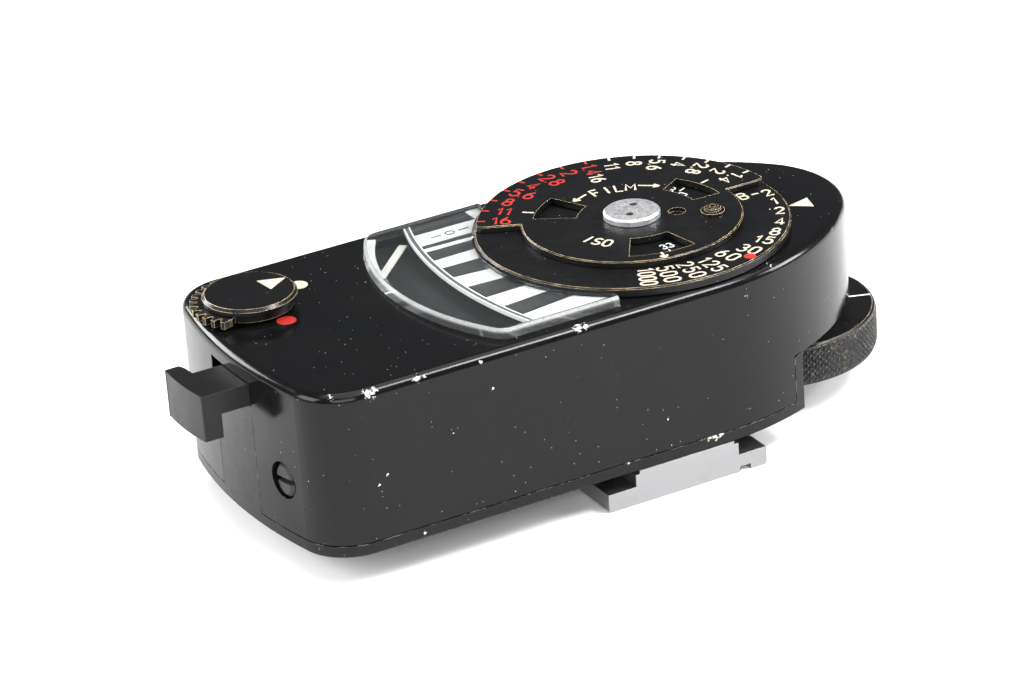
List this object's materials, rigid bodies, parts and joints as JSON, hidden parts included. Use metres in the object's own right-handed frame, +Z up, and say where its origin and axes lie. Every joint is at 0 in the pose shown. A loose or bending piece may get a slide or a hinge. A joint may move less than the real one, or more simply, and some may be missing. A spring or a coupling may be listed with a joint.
{
  "type": "clip-on exposure meter",
  "caption": "Clip-on camera-top exposure meter with shoe foot, striped needle window, twin exposure dials, knurled coupling wheel and side plunger.",
  "frame": {"origin": "on the underside of the shoe foot, where the foot's centre line crosses below the body's long centre line", "axes": "+X to the right along the body towards the coupling wheel, +Y forward towards the subject, +Z up through the dials"},
  "size_m": [0.079, 0.0338, 0.0239],
  "materials": {
    "black_enamel": "gloss",
    "black_inner": "matte",
    "foot_steel": "satin",
    "bright_steel": "satin",
    "turned_aluminium": "satin",
    "brass_parts": "satin",
    "black_plastic": "matte",
    "clear_acrylic": "gloss",
    "lens_glass": "gloss",
    "scale_paint": "matte",
    "needle_paint": "matte",
    "board": "matte",
    "component": "satin",
    "magnet": "matte",
    "cell_can": "satin"
  },
  "bodies": {
    "housing": {"base_plate": "black_enamel", "shoe_foot": "foot_steel", "foot_screws": "bright_steel", "cover": "black_enamel", "end_screw": "black_inner", "window": "clear_acrylic", "scale_plate": "scale_paint", "window_frame": "scale_paint", "mask_plate": "black_inner", "dial_bush": "brass_parts", "gear_deck": "brass_parts", "deck_pillars": "brass_parts", "deck_screws": "bright_steel", "wheel_bush": "brass_parts", "idler_pin": "bright_steel", "plunger_guide": "black_plastic", "plunger_spring": "bright_steel", "spring_stop": "black_plastic", "switch_contacts": "brass_parts", "switch_block": "black_plastic", "range_bush": "brass_parts", "range_wafer": "board", "magnet_ring": "magnet", "magnet_core": "bright_steel", "top_bridge": "brass_parts", "movement_bracket": "brass_parts", "button_cell": "cell_can", "cell_holder": "black_plastic", "cell_contact": "brass_parts", "eye_bezel": "black_enamel", "eye_lens": "lens_glass", "light_cell": "component", "light_cell_saddle": "black_plastic", "circuit_board": "board", "board_spacers": "black_plastic", "resistors": "component", "trimmer": "component"},
    "coupling": {"coupling_wheel": "black_enamel", "wheel_shaft": "bright_steel", "drive_pin": "bright_steel", "wheel_clip": "bright_steel", "wheel_gear": "brass_parts"},
    "idler": {"idler_gear": "brass_parts"},
    "dial": {"speed_dial": "black_enamel", "film_speed_disc": "black_enamel", "dial_shaft": "bright_steel", "centre_screw": "turned_aluminium", "dial_gear": "brass_parts"},
    "aperture": {"aperture_dial": "black_enamel", "film_peg": "brass_parts"},
    "plunger": {"measuring_plunger": "black_plastic", "plunger_contact": "brass_parts"},
    "range": {"range_cap": "black_enamel", "range_teeth": "brass_parts", "range_shaft": "bright_steel", "range_wiper": "brass_parts"},
    "movement": {"moving_coil": "brass_parts", "needle": "needle_paint", "hairspring": "brass_parts"},
    "lid": {"battery_lid": "bright_steel"}
  },
  "joints": [
    {"name": "coupling_turn", "type": "hinge", "parent": "housing", "child": "coupling", "pos_m": [0.0204, 0, 0.006], "axis": [0, 0, 1], "range_deg": [-24, 240]},
    {"name": "idler_turn", "type": "hinge", "parent": "housing", "child": "idler", "pos_m": [0.01594, 0.00513, 0.0116], "axis": [0, 0, 1], "range_deg": [-345, 36]},
    {"name": "dial_turn", "type": "hinge", "parent": "housing", "child": "dial", "pos_m": [0.00465, 0, 0.016], "axis": [0, 0, 1], "range_deg": [-10.5, 100.5]},
    {"name": "film_speed_turn", "type": "hinge", "parent": "dial", "child": "aperture", "pos_m": [0.00465, 0, 0.0226], "axis": [0, 0, 1], "range_deg": [-40, 60]},
    {"name": "plunger_press", "type": "slide", "parent": "housing", "child": "plunger", "axis": [1, 0, 0], "range_m": [0, 0.003], "stiffness_N_per_m": 300, "springref_m": -0.003, "deforming": ["plunger_spring"]},
    {"name": "range_turn", "type": "hinge", "parent": "housing", "child": "range", "pos_m": [-0.0356, 0.0073, 0.019], "axis": [0, 0, 1], "range_deg": [-90, 0]},
    {"name": "needle_swing", "type": "hinge", "parent": "housing", "child": "movement", "pos_m": [-0.028, 0, 0.016], "axis": [0, 0, 1], "range_deg": [-92, 0], "stiffness_Nm_per_rad": 0.000002},
    {"name": "lid_turn", "type": "hinge", "parent": "housing", "child": "lid", "pos_m": [-0.028, 0, 0.004], "axis": [0, 0, 1], "range_deg": [-60, 0]}
  ],
  "couplings": [
    {"joint": "idler_turn", "follows": "coupling_turn", "ratio": -1.4286},
    {"joint": "dial_turn", "follows": "coupling_turn", "ratio": 0.41667}
  ]
}
